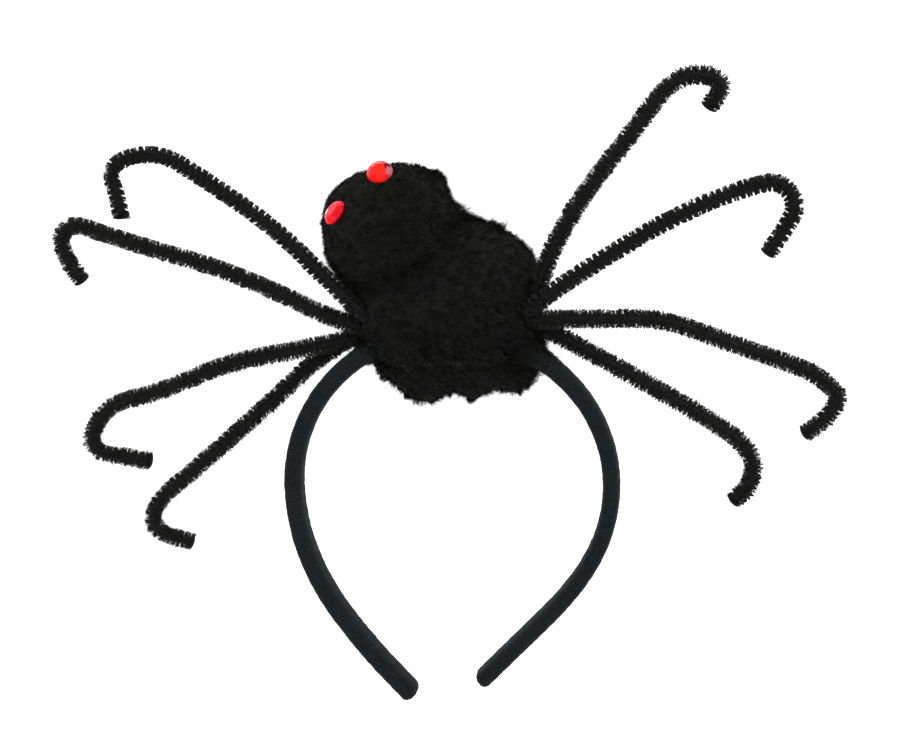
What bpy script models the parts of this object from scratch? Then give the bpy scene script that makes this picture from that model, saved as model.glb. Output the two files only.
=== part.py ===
"""Spider headband: a padded cloth hair band with a plush spider on its crown and eight chenille legs.

It lies on its back as it would on a table: the spider's belly and both tips of the band touch the
surface, so the band's plane rises toward its crown. +Z is up, +X runs along the widest span of the
legs, +Y from the band's tips toward its crown. Sizes in the tables are millimetres and degrees.
"""

import math

import bmesh
import bpy
from mathutils import Vector, noise

MM = 0.001

# The whole part is set out from the middle of the head opening and then moved by this much,
# so that the origin is the centre of its footprint.
FOOTPRINT_SHIFT = Vector((2.2, 10.8, 0.0))

# Gap between neighbouring pieces
CLEARANCE = 0.35

# Band: 12.4 mm wide across the head's front and back, padded to 5.9 mm thick
BAND_WIDTH = 12.4
BAND_THICKNESS = 5.9
BAND_CORNER = 2.3
BAND_SLOPE = 12.0
BAND_FOOT_Y = -122.0
BAND_FOOT_Z = 7.4
CROWN_SIDE = 0.7
CROWN_ALONG = 138.9
BAND_STEP = 5.5
BAND_TURN = 7.5
BAND_TIP_ROUND = 2.5
BAND_TIP_ARC = 72.0
BAND_TIP_RINGS = 3
BAND_CORNER_POINTS = 4
BAND_LEAST_CORNER = 0.2
BAND_SMOOTH = 40.0

# Each arm from the crown down to its tip: bend radius, turn. A straight run of its own length ends it.
ARM_BENDS = {
    "right": ((62.6, 45.0), (58.4, 45.0), (61.5, 25.8), (80.0, 12.0), (135.0, 7.0)),
    "left": ((61.2, 90.0), (85.0, 20.8), (100.0, 14.0), (255.0, 7.0)),
}
ARM_STRAIGHT = {"right": 35.4, "left": 9.3}

# Plush lumps as blended ellipsoids: name, centre x, y, z, half sizes x, y, z
ABDOMEN_CENTRE = Vector((0.5, 24.0, 22.0))
ABDOMEN_LOBES = (
    ("back", -0.8, 29.2, 26.0, 37.8, 29.2, 26.5),
    ("rear", 2.0, 9.5, 15.0, 35.5, 20.0, 15.5),
    ("belly", -0.5, 26.0, 14.0, 33.0, 27.0, 21.0),
    ("right shoulder", 14.0, 15.0, 28.0, 19.0, 15.0, 20.0),
    ("left shoulder", -16.0, 11.0, 28.0, 14.0, 12.0, 18.0),
)
HEAD_CENTRE = Vector((-20.0, 51.5, 32.0))
HEAD_LOBES = (
    ("skull", -20.0, 51.5, 33.0, 27.1, 26.2, 24.5),
)
LOBE_BLEND = 16

# Locks of pile that stand out of a lump: heading in plan, height above the middle, rise, spread
ABDOMEN_LOCKS = (
    (256.0, -14.0, 5.6, 9.0),
    (238.0, -12.0, 3.2, 8.0),
    (224.0, -10.0, 1.5, 9.0),
    (284.0, -14.0, 3.0, 8.0),
    (308.0, -12.0, 3.4, 8.0),
    (317.0, -10.0, 4.6, 8.0),
    (36.0, 8.0, 0.9, 12.0),
    (196.0, 18.0, 3.0, 14.0),
    (350.0, 15.0, 2.0, 14.0),
)
HEAD_LOCKS = (
    (50.0, 0.0, 2.6, 14.0),
    (215.0, 5.0, 1.5, 16.0),
    (147.0, 5.0, 1.9, 12.0),
    (113.0, 5.0, -0.9, 9.0),
)
ABDOMEN_SEGMENTS = 56
HEAD_SEGMENTS = 40
LUMP_RINGS = 24
PLUSH_UNEVEN = 1.2
PLUSH_PATCHES = 3.0
PLUSH_SMOOTH = 60.0

# Chenille legs: pile radius, and how far from the root it is squeezed thin by the plush
PILE_RADIUS = 3.1
ROOT_RADIUS = 1.5
ROOT_TAPER = 16.0
LEG_SIDES = 8
LEG_STEP = 6.5
LEG_TURN = 20.0
LEG_SMOOTH = 50.0

# Where each leg leaves the plush: x, y, first heading, heights at its root, middle and foot
LEG_ROOTS = {
    "left_1": (-26.5, 17.0, 139.0, 38.5, 52.0, 38.0),
    "left_2": (-27.5, 14.5, 166.5, 35.0, 44.0, 28.0),
    "left_3": (-27.0, 13.5, 194.0, 31.5, 30.0, 12.0),
    "left_4": (-27.5, 15.6, 199.8, 27.5, 13.0, 5.0),
    "right_1": (32.1, 21.0, 77.0, 33.0, 54.0, 44.0),
    "right_2": (29.0, 20.0, 35.5, 39.0, 44.0, 30.0),
    "right_3": (26.5, 17.0, 5.0, 37.0, 34.0, 14.0),
    "right_4": (28.5, 18.5, -21.0, 32.0, 17.0, 5.0),
}

# Bends of each leg from its root to its foot: length in plan, turn
LEG_BENDS = {
    "left_1": ((32, -5), (33, 11), (30, 3), (25, 56), (9, 82), (13.5, -10)),
    "left_2": ((29, -13), (51, 11), (39, -3), (4, 6), (13, 119.5), (15, 23)),
    "left_3": ((44, -5), (30, 14), (25.5, -10), (7, 5), (20, 57), (9, 95), (18, 0)),
    "left_4": ((37.5, 22), (70.4, -3), (10, 20), (14, 107), (10, 0)),
    "right_1": ((31, -17), (30, -9), (31, 2), (10, -27), (13.5, -54), (6, -103), (6, 9)),
    "right_2": ((52, -5), (42, -12), (8, -4), (20.5, -135), (15, -5)),
    "right_3": ((25, -5), (20, 0), (20, -20), (42, 1), (18, -29), (5, -73), (16, -29)),
    "right_4": ((15, -7), (51, -2), (23, -4), (11, -23), (15, -72), (6.8, -13)),
}

# Red stones: radius and height of each ring above the flat back, then of the flat table
STONE_FACETS = 10
STONE_RINGS = ((4.6, 0.0), (5.0, 0.9), (4.0, 2.7))
STONE_TABLE = (2.5, 3.6)
# How far each ring is turned against the one below, in facets
STONE_ROW_TURNS = (0.0, 0.0, 0.5, 0.5)

# Where each stone sits on the head: middle of its back, heading it faces in plan, height it faces
EYE_SEATS = {
    "right": (-22.9, 72.2, 46.8, 100.0, 52.0),
    "left": (-39.0, 57.2, 47.8, 155.0, 38.0),
}


def start_clean():
    """Remove whatever objects the open file holds."""
    for thing in list(bpy.data.objects):
        bpy.data.objects.remove(thing, do_unlink=True)


def make_material(name, colour, roughness, sheen=0.0):
    """A plain surface of one colour."""
    material = bpy.data.materials.new(name)
    material.use_nodes = True
    surface = material.node_tree.nodes["Principled BSDF"]
    surface.inputs["Base Color"].default_value = (*colour, 1.0)
    surface.inputs["Roughness"].default_value = roughness
    surface.inputs["Sheen Weight"].default_value = sheen
    material.diffuse_color = (*colour, 1.0)
    return material


def add_object(name, shape, parent, material=None, smooth_angle=None):
    """Turn a bmesh in millimetres into an object under the parent empty."""
    mesh = bpy.data.meshes.new(name)
    bmesh.ops.scale(shape, vec=Vector((MM, MM, MM)), verts=shape.verts)
    bmesh.ops.recalc_face_normals(shape, faces=shape.faces)
    shape.to_mesh(mesh)
    shape.free()
    if smooth_angle is not None:
        mesh.shade_smooth()
        mesh.set_sharp_from_angle(angle=math.radians(smooth_angle))
    if material is not None:
        mesh.materials.append(material)
    thing = bpy.data.objects.new(name, mesh)
    thing.parent = parent
    bpy.context.scene.collection.objects.link(thing)
    return thing


def cut_with(thing, cutter):
    """Cut one object out of another, and leave the cutter as a guide."""
    cutter.hide_render = True
    cutter.display_type = "WIRE"
    boolean = thing.modifiers.new("Cut " + cutter.name, "BOOLEAN")
    boolean.operation = "DIFFERENCE"
    boolean.solver = "EXACT"
    boolean.object = cutter


def skin_rings(rings):
    """A closed tube through rings of points, with a flat face at both ends."""
    shape = bmesh.new()
    loops = [[shape.verts.new(point) for point in ring] for ring in rings]
    count = len(loops[0])
    for near, far in zip(loops, loops[1:]):
        for i in range(count):
            j = (i + 1) % count
            shape.faces.new((near[i], near[j], far[j], far[i]))
    shape.faces.new(reversed(loops[0]))
    shape.faces.new(loops[-1])
    return shape


def direction(heading, height):
    """Unit vector from a heading in plan and a height above it, both in degrees."""
    heading = math.radians(heading)
    height = math.radians(height)
    level = math.cos(height)
    return Vector((level * math.cos(heading), level * math.sin(heading), math.sin(height)))


def walk(start, heading, runs, step, most_turn):
    """Points along runs of (length, turn), as (x, y, heading, distance), headings in radians."""
    x, y = start
    distance = 0.0
    stations = [(x, y, heading, distance)]
    for length, turn in runs:
        steps = math.ceil(max(length / step, abs(turn) / most_turn))
        stride = length / steps
        for _ in range(steps):
            heading += math.radians(turn) / steps / 2
            x += stride * math.cos(heading)
            y += stride * math.sin(heading)
            heading += math.radians(turn) / steps / 2
            distance += stride
            stations.append((x, y, heading, distance))
    return stations


def band_outline(grow):
    """Rounded rectangle of the band's section: along its width, then out from the head."""
    corner = max(BAND_CORNER + grow, BAND_LEAST_CORNER)
    wide = BAND_WIDTH / 2 + grow - corner
    thick = BAND_THICKNESS / 2 + grow - corner
    points = []
    for quarter, (side, top) in enumerate(((1, 1), (-1, 1), (-1, -1), (1, -1))):
        for i in range(BAND_CORNER_POINTS):
            angle = math.radians(90 * (quarter + i / (BAND_CORNER_POINTS - 1)))
            points.append((side * wide + corner * math.cos(angle), top * thick + corner * math.sin(angle)))
    return points


def arm_stations(side):
    """Stations down one arm from the crown, in the band's own plane: sideways, along, heading."""
    way = {"right": 1, "left": -1}[side]
    runs = [(radius * math.radians(turn), -turn) for radius, turn in ARM_BENDS[side]]
    runs.append((ARM_STRAIGHT[side], 0.0))
    stations = walk((0.0, 0.0), 0.0, runs, BAND_STEP, BAND_TURN)
    return [(way * x, along, way * -heading) for x, along, heading, _ in stations]


def band_rings(grow):
    """The band's sections from its left tip over the crown to its right tip."""
    slope = math.radians(BAND_SLOPE)
    uphill = Vector((0.0, math.cos(slope), math.sin(slope)))
    across = Vector((0.0, -math.sin(slope), math.cos(slope)))
    foot = Vector((CROWN_SIDE, BAND_FOOT_Y, BAND_FOOT_Z))

    stations = [(*station, grow) for station in reversed(arm_stations("left"))]
    stations += [(*station, grow) for station in arm_stations("right")[1:]]
    for way, end in ((-1, 0), (1, -1)):
        x, along, heading, _ = stations[end]
        for i in range(1, BAND_TIP_RINGS + 1):
            angle = math.radians(BAND_TIP_ARC * i / BAND_TIP_RINGS)
            reach = way * (BAND_TIP_ROUND + grow) * math.sin(angle)
            inset = BAND_TIP_ROUND * (1 - math.cos(angle))
            station = (x + reach * math.cos(heading), along - reach * math.sin(heading), heading, grow - inset)
            stations.insert(0 if end == 0 else len(stations), station)

    rings = []
    for x, along, heading, size in stations:
        middle = foot + Vector((x, 0.0, 0.0)) + uphill * (CROWN_ALONG + along)
        outward = Vector((math.sin(heading), 0.0, 0.0)) + uphill * math.cos(heading)
        rings.append([middle + across * a + outward * b for a, b in band_outline(size)])
    return rings


def leg_rings(name, grow):
    """Round sections of a chenille leg from its squeezed root to its blunt foot."""
    x, y, heading, root_height, middle_height, foot_height = LEG_ROOTS[name]
    stations = walk((x, y), math.radians(heading), LEG_BENDS[name], LEG_STEP, LEG_TURN)
    whole = stations[-1][3]
    rings = []
    for x, y, heading, distance in stations:
        t = distance / whole
        height = (1 - t) ** 2 * root_height + 2 * t * (1 - t) * middle_height + t ** 2 * foot_height
        filled = min(1.0, distance / ROOT_TAPER)
        radius = ROOT_RADIUS + (PILE_RADIUS - ROOT_RADIUS) * filled + grow
        sideways = Vector((-math.sin(heading), math.cos(heading), 0.0))
        middle = Vector((x, y, height))
        if distance == 0.0:
            middle -= grow * Vector((math.cos(heading), math.sin(heading), 0.0))
        ring = []
        for i in range(LEG_SIDES):
            angle = 2 * math.pi * (i + 0.5) / LEG_SIDES
            ring.append(middle + radius * (sideways * math.cos(angle) + Vector((0, 0, math.sin(angle)))))
        rings.append(ring)
    return rings


def reach_of_lobe(centre, way, lobe):
    """How far a ray from the centre runs before it leaves one ellipsoid."""
    _, x, y, z, *half = lobe
    start = Vector([(a - b) / h for a, b, h in zip(centre, (x, y, z), half)])
    ray = Vector([a / h for a, h in zip(way, half)])
    slope = start.dot(ray)
    inside = slope ** 2 - ray.length_squared * (start.length_squared - 1)
    if inside <= 0:
        return 0.0
    return max(0.0, (math.sqrt(inside) - slope) / ray.length_squared)


def lump_shape(centre, lobes, locks, segments, grow):
    """A stuffed plush lump: ellipsoids blended round one centre, with locks of pile standing out."""
    shape = bmesh.new()
    bmesh.ops.create_uvsphere(shape, u_segments=segments, v_segments=LUMP_RINGS, radius=1.0)
    for vert in shape.verts:
        way = vert.co.normalized()
        reach = sum(reach_of_lobe(centre, way, lobe) ** LOBE_BLEND for lobe in lobes) ** (1 / LOBE_BLEND)
        for heading, height, rise, spread in locks:
            off = math.degrees(way.angle(direction(heading, height)))
            reach += rise * math.exp(-((off / spread) ** 2))
        reach += PLUSH_UNEVEN * noise.noise(way * PLUSH_PATCHES)
        vert.co = centre + way * (reach + grow)
    return shape


def flatten_belly(shape):
    """Cut a lump off level where it rests."""
    everything = shape.verts[:] + shape.edges[:] + shape.faces[:]
    cut = bmesh.ops.bisect_plane(
        shape, geom=everything, plane_co=(0, 0, 0), plane_no=(0, 0, -1), clear_outer=True
    )
    rim = [part for part in cut["geom_cut"] if isinstance(part, bmesh.types.BMEdge)]
    bmesh.ops.edgenet_fill(shape, edges=rim)
    return shape


def stone_shape(grow):
    """A round stone with a flat back, two rows of facets and a flat table, its back at z = 0."""
    rings = []
    for row, (radius, height) in enumerate((*STONE_RINGS, STONE_TABLE)):
        turn = STONE_ROW_TURNS[row]
        level = height + (grow if height > 0 else -grow)
        ring = []
        for i in range(STONE_FACETS):
            angle = 2 * math.pi * (i + turn) / STONE_FACETS
            ring.append(((radius + grow) * math.cos(angle), (radius + grow) * math.sin(angle), level))
        rings.append(ring)
    return skin_rings(rings)


def place_stone(stone, side):
    """Seat a stone on the head and turn it the way it faces."""
    x, y, z, heading, height = EYE_SEATS[side]
    stone.location = Vector((x, y, z)) * MM
    stone.rotation_mode = "QUATERNION"
    stone.rotation_quaternion = direction(heading, height).to_track_quat("Z", "Y")


def main():
    start_clean()
    whole = bpy.data.objects.new("headpiece", None)
    whole.location = FOOTPRINT_SHIFT * MM
    bpy.context.scene.collection.objects.link(whole)

    cloth = make_material("band_cloth", (0.010, 0.013, 0.016), 0.85, sheen=0.3)
    plush = make_material("black_plush", (0.008, 0.008, 0.007), 1.0, sheen=0.4)
    chenille = make_material("chenille", (0.008, 0.008, 0.008), 0.95, sheen=0.2)
    stone_red = make_material("red_stone", (0.85, 0.02, 0.02), 0.15)

    add_object("headband", skin_rings(band_rings(0.0)), whole, cloth, BAND_SMOOTH)
    body = lump_shape(ABDOMEN_CENTRE, ABDOMEN_LOBES, ABDOMEN_LOCKS, ABDOMEN_SEGMENTS, 0.0)
    abdomen = add_object("abdomen", flatten_belly(body), whole, plush, PLUSH_SMOOTH)
    skull = lump_shape(HEAD_CENTRE, HEAD_LOBES, HEAD_LOCKS, HEAD_SEGMENTS, 0.0)
    head = add_object("head", skull, whole, plush, PLUSH_SMOOTH)

    for side in EYE_SEATS:
        stone = add_object("eye_" + side, stone_shape(0.0), whole, stone_red)
        place_stone(stone, side)
        hollow = add_object("stone_seat_" + side, stone_shape(CLEARANCE), whole)
        place_stone(hollow, side)
        cut_with(head, hollow)
    cut_with(abdomen, add_object("band_channel", skin_rings(band_rings(CLEARANCE)), whole))
    seat = lump_shape(ABDOMEN_CENTRE, ABDOMEN_LOBES, ABDOMEN_LOCKS, ABDOMEN_SEGMENTS, CLEARANCE)
    cut_with(head, add_object("neck_seat", seat, whole))

    for name in LEG_ROOTS:
        add_object("leg_" + name, skin_rings(leg_rings(name, 0.0)), whole, chenille, LEG_SMOOTH)
        cut_with(abdomen, add_object("socket_" + name, skin_rings(leg_rings(name, CLEARANCE)), whole))


main()
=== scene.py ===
"""Looks of the spider headband: matted plush, chenille legs, velvet covered band and red acrylic stones.

The spider lies on a pale surface under soft light, seen from above as in the photograph. Sizes in the
tables are millimetres and degrees. The band's and the legs' tables follow the ones that the solids are built
from to within about a millimetre, and are fitted closer to the photograph.
"""

import math

import bmesh
import bpy
import numpy as np
from mathutils import Matrix, Vector, kdtree, noise
from mathutils.bvhtree import BVHTree


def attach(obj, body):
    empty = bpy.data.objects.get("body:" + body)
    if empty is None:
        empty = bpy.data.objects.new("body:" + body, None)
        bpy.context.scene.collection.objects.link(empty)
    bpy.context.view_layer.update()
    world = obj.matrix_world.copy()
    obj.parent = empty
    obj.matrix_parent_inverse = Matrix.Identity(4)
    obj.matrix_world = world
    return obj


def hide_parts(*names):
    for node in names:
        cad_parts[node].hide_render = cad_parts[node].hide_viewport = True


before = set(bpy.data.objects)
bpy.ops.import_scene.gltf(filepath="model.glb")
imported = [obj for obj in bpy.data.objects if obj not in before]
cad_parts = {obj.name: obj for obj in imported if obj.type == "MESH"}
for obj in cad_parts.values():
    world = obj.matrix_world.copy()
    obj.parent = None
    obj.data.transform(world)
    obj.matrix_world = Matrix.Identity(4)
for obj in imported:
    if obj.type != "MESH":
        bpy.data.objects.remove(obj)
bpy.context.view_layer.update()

MM = 0.001
SEED = 31
# Fibres: where along its length each is widest, and how dark its root is beside its tip
FIBRE_WAIST = 0.45
ROOT_SHADE = 0.3
# Points of a solid closer than this are one
MERGE_WITHIN = 0.0005
# How far on in the noise each further pattern of vectors is read
NOISE_STEP = Vector((17.3, -9.1, 5.7))
# Sharpest turn between two sections of the band or of a leg
MOST_TURN = 6.0

# The part is set out from the middle of the head opening and moved by this much
FOOTPRINT_SHIFT = Vector((2.2, 10.8, 0.0))

# Camera: the point it looks at, its distance, its lean toward +X, and the width of the view there
VIEW_TARGET = Vector((0.0, 0.0, 20.0))
VIEW_DISTANCE = 650.0
VIEW_LEAN = 6.8
VIEW_WIDTH = 346.5
SENSOR = 36.0

# Band: width across the head's front and back, padded thickness, slope of its plane, the foot of that slope
# and how far up it the crown is
BAND_WIDTH = 12.4
BAND_THICKNESS = 6.5
BAND_SLOPE = 12.0
BAND_FOOT = Vector((0.7, -122.0, 7.4))
CROWN_ALONG = 138.9
# Bends of each arm from the crown down: radius, turn. Then a straight run to the start of its tip
ARM_BENDS = {
    "right": ((62.8, 45.0), (57.8, 45.0), (61.5, 25.2), (80.0, 12.0), (135.0, 7.0)),
    "left": ((60.8, 90.0), (85.0, 21.1), (100.0, 14.0), (255.0, 7.0)),
}
ARM_STRAIGHT = {"right": 35.2, "left": 8.6}
# Longest step between two sections of the band. Its tips: length, rings, how far they are rounded, and how
# much narrower and thinner they get
BAND_STEP = 1.6
BAND_TIP_ROUND = 2.9
BAND_TIP_RINGS = 7
BAND_TIP_TURN = 80.0
BAND_TIP_NARROW = 1.5
BAND_TIP_THIN = 0.93
# Section: its sides, how square it is, and how far the pile of the velvet stands off it
BAND_SIDES = 32
BAND_SQUARE = 3.0
BAND_PILE = 0.36
# How much thinner the padding looks on the right arm, and how far from the crown that sets in
RIGHT_THIN = 0.085
THIN_FROM = 60.0
# Unevenness of the velvet: how high, how wide
BAND_UNEVEN = 0.24
BAND_PATCH = 0.9
# Cross rib: its pitch, the height of its ridges beside the nap's, and how much paler they are painted, a
# painted highlight on the ridges
RIB_PITCH = 1.2
RIB_HEIGHT = 0.22
RIB_PAINTED_HIGHLIGHT = 0.06
# Short nap that stands off the velvet: how many fibres, length, width, and how far they stray
NAP_FIBRES = 9000
NAP_LENGTH = 0.5
NAP_LENGTHS = (0.5, 1.3)
NAP_WIDTH = 0.045
NAP_STRAY = 0.45

# Chenille legs: where each leaves the plush, its first heading, heights at its root, middle and foot
LEG_ROOTS = {
    "left_1": (-26.5, 17.0, 139.0, 38.5, 52.0, 38.0),
    "left_2": (-27.5, 14.4, 166.45, 35.0, 44.0, 28.0),
    "left_3": (-27.0, 13.6, 194.0, 31.5, 30.0, 12.0),
    "left_4": (-27.5, 15.6, 199.8, 27.5, 13.0, 5.0),
    "right_1": (32.4, 20.9, 77.0, 33.0, 54.0, 44.0),
    "right_2": (29.0, 20.0, 35.5, 39.0, 44.0, 30.0),
    "right_3": (26.5, 17.2, 5.0, 37.0, 34.0, 14.0),
    "right_4": (28.5, 18.5, -21.0, 32.0, 17.0, 5.0),
}
# Bends of each leg from its root to its foot: length in plan, turn
LEG_BENDS = {
    "left_1": ((32, -5), (33, 11), (30, 3), (25, 56), (9, 82), (13.5, -10)),
    "left_2": ((29, -13), (51, 11), (39, -3), (4, 6), (13, 119.5), (15, 23)),
    "left_3": ((44, -5), (30, 14), (25.5, -10), (7, 5), (20, 57), (9, 95), (18, 0)),
    "left_4": ((37.5, 21.6), (70.4, -3), (10, 20), (14, 107), (10, 0)),
    "right_1": ((31, -17), (30, -9), (31, 2), (10, -27), (13.5, -54), (6, -103), (6, 9)),
    "right_2": ((52, -5), (42, -12), (8, -4), (20.5, -135), (15, -5)),
    "right_3": ((25, -5), (20, 0), (20, -20), (42, 1), (18, -29), (5, -73), (16, -29)),
    "right_4": ((15, -7), (51, -2), (23, -4), (11, -23), (15, -72), (6.8, -13)),
}
# Longest step between two sections of a leg
LEG_STEP = 1.5

# Bristles are held between two twisted wires, so they fan out as a double screw: the pile's radius, how far
# its tips stand out from that, and the screw's pitch
PILE_RADIUS = 3.1
PILE_PROUD = 0.38
TWIST_PITCH = 5.3
BRISTLES_PER_MM = 104
BRISTLE_WIDTH = 0.13
# Thinnest and widest of the bristles and of the nap's fibres beside the usual one
WIDTHS = (0.7, 1.3)
# Share of the bristles that are widest at the root
ROOTED_SHARE = 0.25
# How pale the bristles are, how much streaks change that, and how much each differs
BRISTLE_TINT = 0.4
STREAK_TINT = 1.3
TINT_STRAY = 0.12
# How far bristles stray round the leg, along it and in reach
BRISTLE_SPREAD = 0.05
BRISTLE_LEAN = 0.06
BRISTLE_UNEVEN = 0.05
# How far patches of them lean together along the leg: broad patches, then small ones
BRISTLE_DRIFT = 0.16
BRISTLE_CLUMP = 0.1
# Tips are rough, more so on the side where the threads run across the line of sight
TIP_ROUGH = 0.1
SIDE_ROUGH = 0.22
# How sharply a side of the leg begins
SIDE_EDGE = 2.0
# Patches on a leg, each with its length and how many there are round a quarter of the leg
DRIFT_PATCH = (9.0, 0.8)
CLUMP_PATCH = (0.55, 3.0)
ROUGH_PATCH = (0.55, 0.9)
COMB_PATCH = (4.0, 1.0)
STREAK_PATCH = (0.5, 2.5)
FILL_PATCH = (14.0, 1.0)
# Where in the noise they are read: how far apart the legs are, and how far on some patches are
NOISE_APART = 40.0
ROUGH_SHIFT = 5.0
COMB_SHIFT = 7.0
STREAK_SHIFT = 9.0
# Where threads are packed close, their tips stand in a comb: its pitch, its slant, how uneven it is, and how
# far tips are drawn to its teeth
COMB_PITCH = 1.5
COMB_SLANT = 0.25
COMB_UNEVEN = 1.1
COMB_DRAW = 0.6
# How each leg's bristles stand. A thread's bristles gather in two tufts: how far they are drawn into their
# own tuft, and the two tufts together. Then the lean toward the foot on the side that faces the wearer's
# face, how far the gaps on one side are turned along the leg, the comb's depth, and the share of a full turn
# that the threads fill
LEG_PILE = {
    "left_1": (0.36, 0.26, 0.42, 0.42, 0.0, 0.97),
    "left_2": (0.08, 0.0, 0.2, 0.0, 0.16, 1.25),
    "left_3": (0.08, 0.04, 0.15, 0.0, 0.28, 1.25),
    "left_4": (0.08, 0.0, 0.15, 0.0, 0.22, 1.25),
    "right_1": (0.12, 0.08, 0.1, 0.0, 0.26, 1.25),
    "right_2": (0.42, 0.2, 0.06, 0.3, 0.0, 0.92),
    "right_3": (0.08, 0.04, 0.15, 0.0, 0.2, 1.25),
    "right_4": (0.1, 0.1, 0.2, 0.0, 0.3, 1.25),
}
# How far that share differs along a leg, its least and its most
FILL_UNEVEN = 0.09
FILL_LEAST = 0.6
FILL_MOST = 1.4
# Foot: the length where the pile is full, and the bristles that round it off, with their dome and its place
FOOT_DENSE = 0.8
FOOT_BRISTLES = 450
FOOT_DOME = 1.3
FOOT_LIFT = 0.7
FOOT_REACHES = (0.85, 1.1)
FOOT_TINTS = (0.1, 0.8)
# Longer bristles: their share, and the shortest and the longest beside the usual one
STRAY_SHARE = 0.004
STRAY_LEAST = 1.05
STRAY_REACH = 1.28
# How thin a leg is where it leaves the plush, and how far along it that ends
ROOT_PINCH = 0.8
ROOT_LENGTH = 7.0
# Dense core of a leg and how thin its end is, and the wire's cut end with the lengths out of and in the pile
CORE_RADIUS = 1.9
CORE_SIDES = 8
CORE_END = 0.75
WIRE_RADIUS = 0.33
WIRE_SIDES = 6
WIRE_END = 0.5
WIRE_BURIED = 3.0

# Plush: depth of the skin under the solid's surface, voxel of the skin, lumps of the matted pile
SKIN_DEPTH = 0.95
SKIN_VOXEL = 1.25
# How often and how far the skin is softened
SKIN_SOFTENED = 4
SKIN_SOFTENING = 0.5
MAT_RISE = 0.7
MAT_PATCH = 5.0
# How fast the matted lumps get weaker and finer, and how many times
MAT_FRACTAL = (0.8, 2.0, 3)
# How far above the surface it lies on the plush stays
FLOOR_GAP = 0.15
# Places where the pile is thicker or pressed in: place, radius, rise
SWELLS = (
    ((-15.5, -11.0, 11.0), 5.0, 2.1),
    ((-26.0, -1.0, 14.0), 6.0, 0.7),
    ((7.8, -11.0, 10.0), 3.4, 2.5),
    ((24.5, -8.0, 11.0), 4.0, 1.3),
    ((-3.0, -10.5, 10.0), 2.6, -1.3),
    ((33.0, 43.0, 27.0), 3.5, 0.7),
    ((27.3, 49.5, 28.0), 3.2, -1.0),
    ((17.0, 54.5, 31.0), 5.0, 1.2),
    ((5.0, 64.5, 33.0), 5.0, -2.2),
    ((-43.0, 64.0, 36.0), 6.0, 0.6),
    ((-30.5, 71.0, 40.0), 4.5, -1.1),
)

# Each plush lump: how many fibres and locks, the fibres' length, the way the pile is brushed, how pale it is.
# The head's pile is painted paler than the abdomen's, as painted light where the head catches more light
PILE = {
    "abdomen": (32000, 2600, 3.3, Vector((0.95, -0.3, -0.2)), 0.27),
    "head": (24000, 2000, 3.0, Vector((1.0, -0.1, 0.0)), 0.85),
}
# Width of the pile's fibres, their rise off the skin, and how deep their roots are in it
PILE_WIDTH = 0.085
PILE_RISE = 0.55
PILE_SUNK = 0.3
# Room that the fibres leave to the band and to the stones, which matters only this close to them
BAND_MARGIN = 0.15
EYE_MARGIN = 0.25
CLEAR_WITHIN = 6.0
# Swirls in the way the pile is brushed: how wide, how strong
SWIRL_PATCH = 11.0
SWIRL_PULL = 0.32
# Locks: how far they stray, how far fibres are drawn to their tips, their lengths, and how few are pale
LOCK_STRAY = 0.2
LOCK_PULL = 0.22
LOCK_LENGTHS = (0.7, 1.15)
LOCK_TINT_CURVE = 1.7
# Fibres of a lock: how far they stray, their least rise, how far they bow, their lengths and widths beside
# the usual ones, how much paler some are and how few
FIBRE_STRAY = 0.3
FIBRE_RISE = 0.3
FIBRE_CURL = 0.3
FIBRE_LENGTHS = (0.6, 1.1)
FIBRE_WIDTHS = (0.6, 1.2)
FIBRE_TINT = 0.75
FIBRE_TINT_CURVE = 3
# Long fibres: their share and their length beside the others
LONG_SHARE = 0.07
LONG_REACH = 1.7
# Pile lies flat and close where it is brushed over an edge from outside, and stands where it leaves one
LEE_FLAT = 0.5
LEE_SHORT = 0.7
LEE_MOST = 1.2
# Short pile that stands straight off the surface: its share on top and at the sides, length, width, stray
FUZZ_SHARE = 0.1
FUZZ_SIDES = 0.6
FUZZ_CURVE = 1.5
FUZZ_SHORT = 0.52
FUZZ_WIDE = 1.35
FUZZ_STRAY = 0.45
# How much paler the pile is painted where the two lumps meet: painted light that lifts the shade of the
# crease between them
CREASE_PAINTED_LIGHT = 0.45
# Broad paler and darker patches in the pile: how strong, how wide
TINT_PATCHY = 0.9
TINT_PATCH = 7.0
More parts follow.
